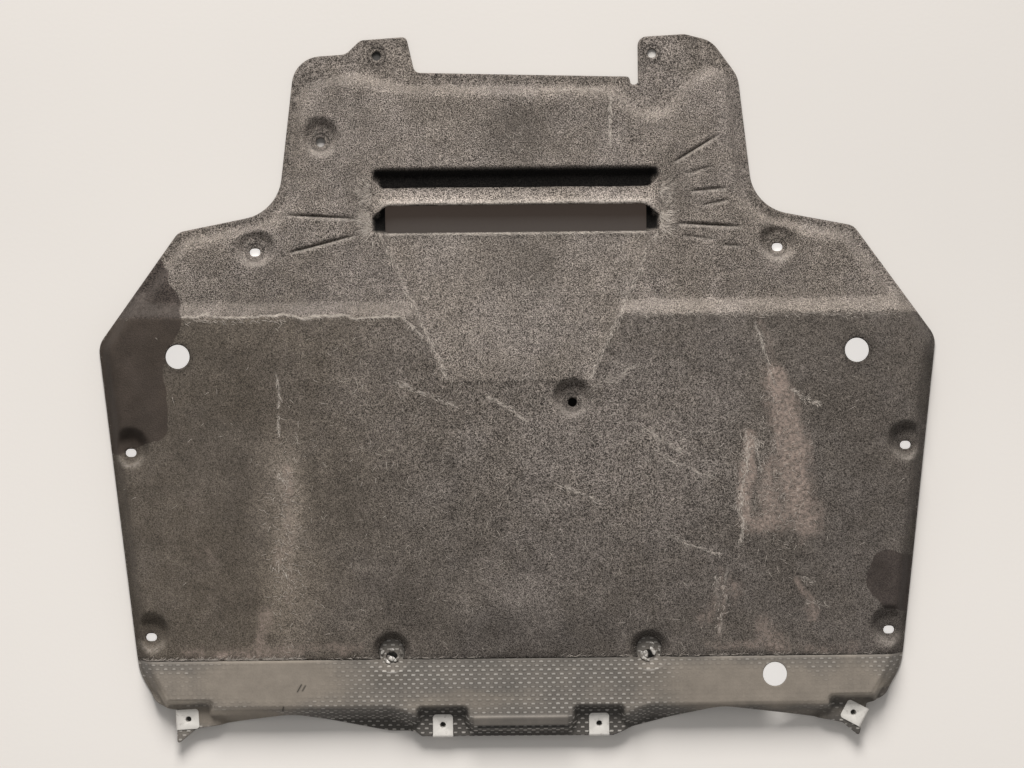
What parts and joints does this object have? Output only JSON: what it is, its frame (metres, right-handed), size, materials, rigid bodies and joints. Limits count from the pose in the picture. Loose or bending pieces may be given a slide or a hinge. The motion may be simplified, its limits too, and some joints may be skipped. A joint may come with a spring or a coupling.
{
  "type": "engine skid plate",
  "caption": "Pressed felt engine undertray with a stepped panel, recessed bolt seats, a ramped louvre inlet, and a studded plastic front strip carrying spring U-nuts.",
  "frame": {"origin": "centre of the bounding box on the ground, with the plate lying road side up", "axes": "+X across the car, +Y to the car's rear (the end with the two ears), +Z towards the road"},
  "size_m": [0.8374, 0.7036, 0.029],
  "materials": {
    "felt": "pressed needle felt, grey and black fibres, dusty and stained",
    "strip": "studded black plastic sheet under grey dust",
    "zinc": "matt zinc-flake coated spring steel"
  },
  "bodies": {
    "root": {"felt_shield": "felt", "front_strip": "strip", "u_nuts": "zinc"}
  },
  "joints": []
}
